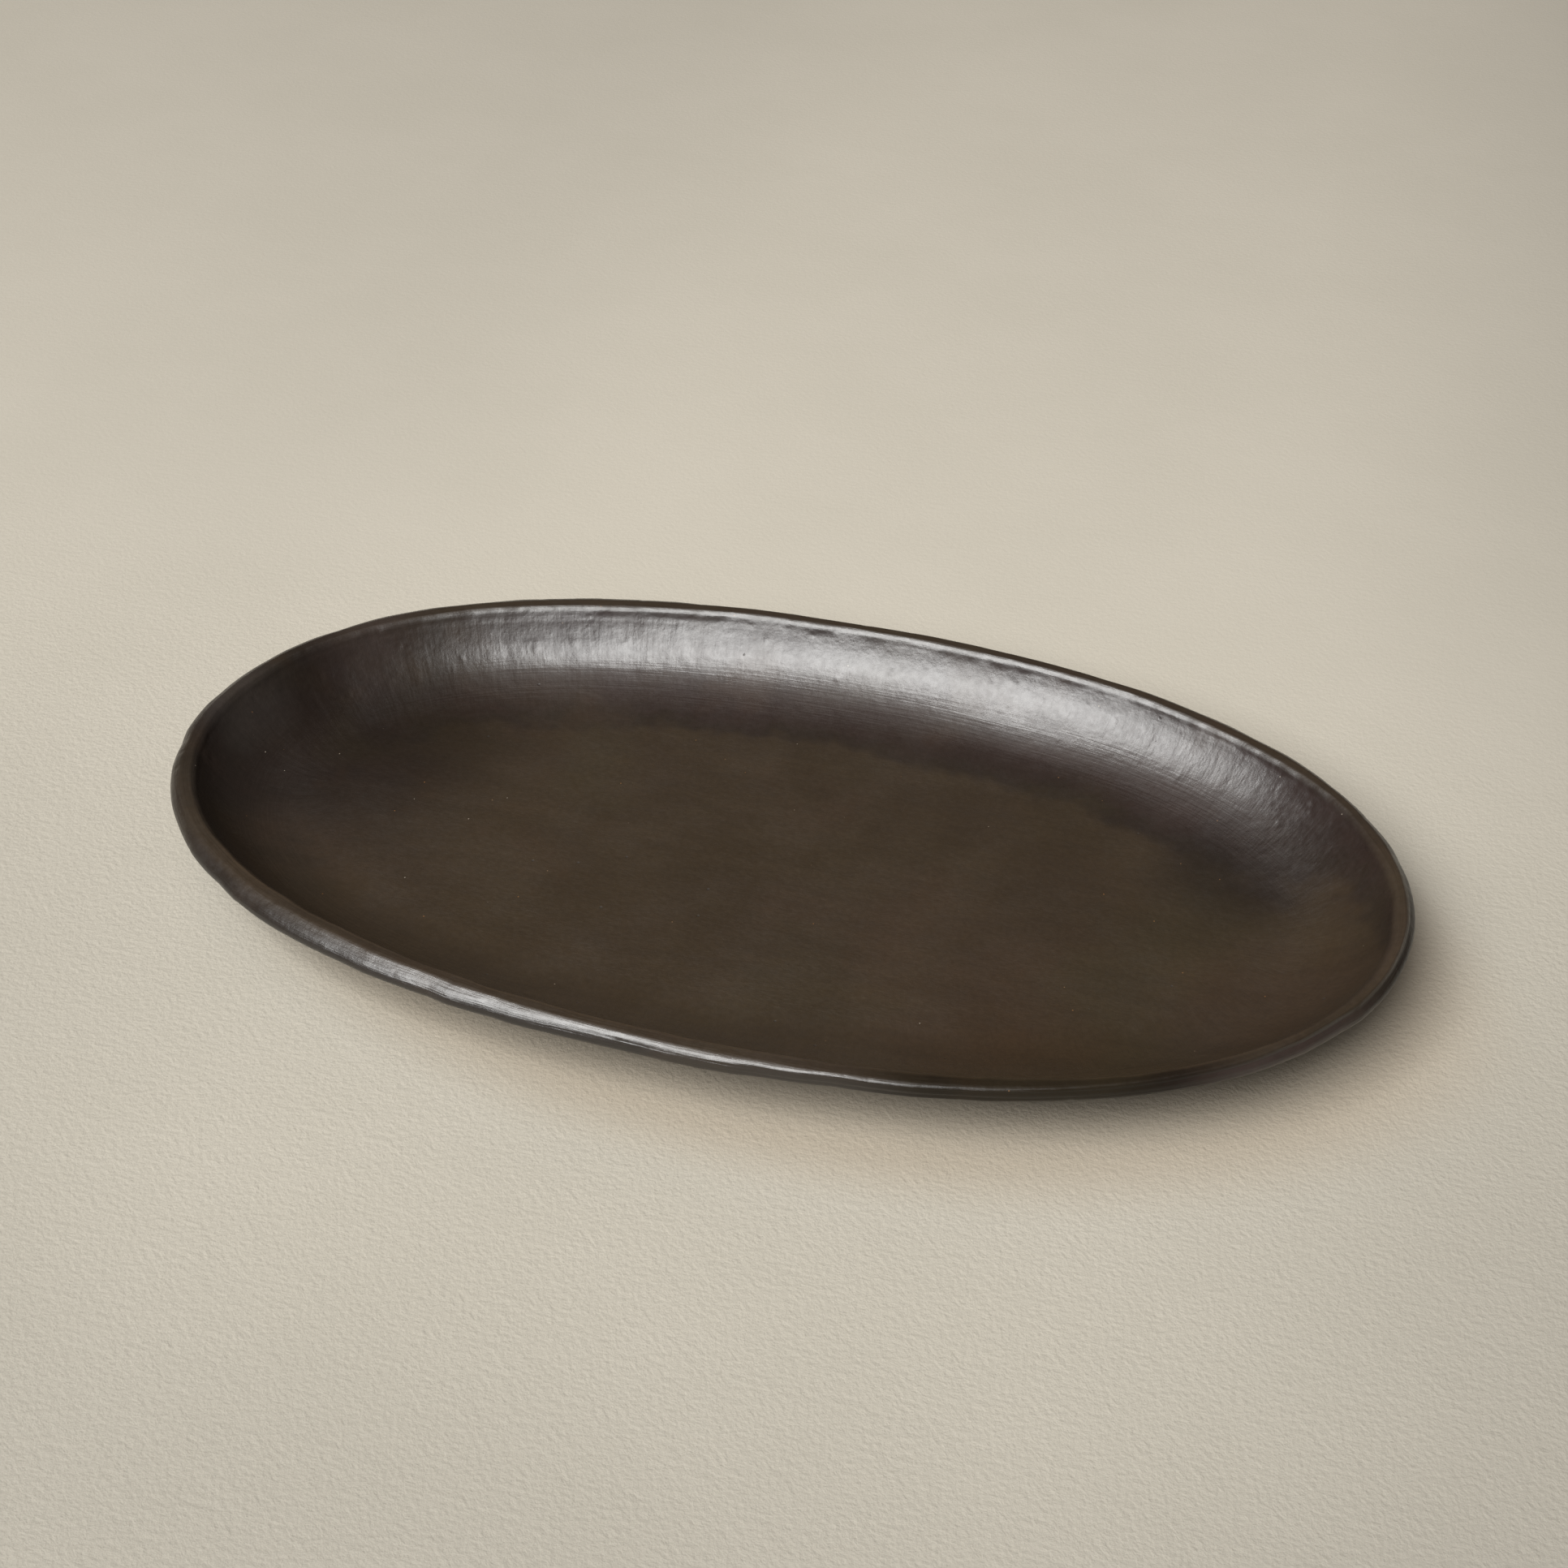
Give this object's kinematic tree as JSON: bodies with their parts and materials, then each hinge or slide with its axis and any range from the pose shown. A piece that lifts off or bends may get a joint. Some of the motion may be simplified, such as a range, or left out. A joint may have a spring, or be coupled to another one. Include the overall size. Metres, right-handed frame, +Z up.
{
  "type": "oval serving platter",
  "caption": "Shallow oval serving platter of stone-burnished black clay, with a flat floor, a flared cove wall and a thick rounded lip.",
  "frame": {"origin": "middle of the flat underside, where the platter rests", "axes": "+X along the long way of the oval, +Y across it, +Z up out of the dish"},
  "size_m": [0.45, 0.251, 0.034],
  "materials": {
    "burnished_black_clay": "smoke-blackened earthenware, burnished with a stone to a satin sheen, olive brown on the floor and purplish black on the wall"
  },
  "bodies": {
    "root": {"floor_slab": "burnished_black_clay", "side_wall": "burnished_black_clay", "lip_coil": "burnished_black_clay"}
  },
  "joints": []
}
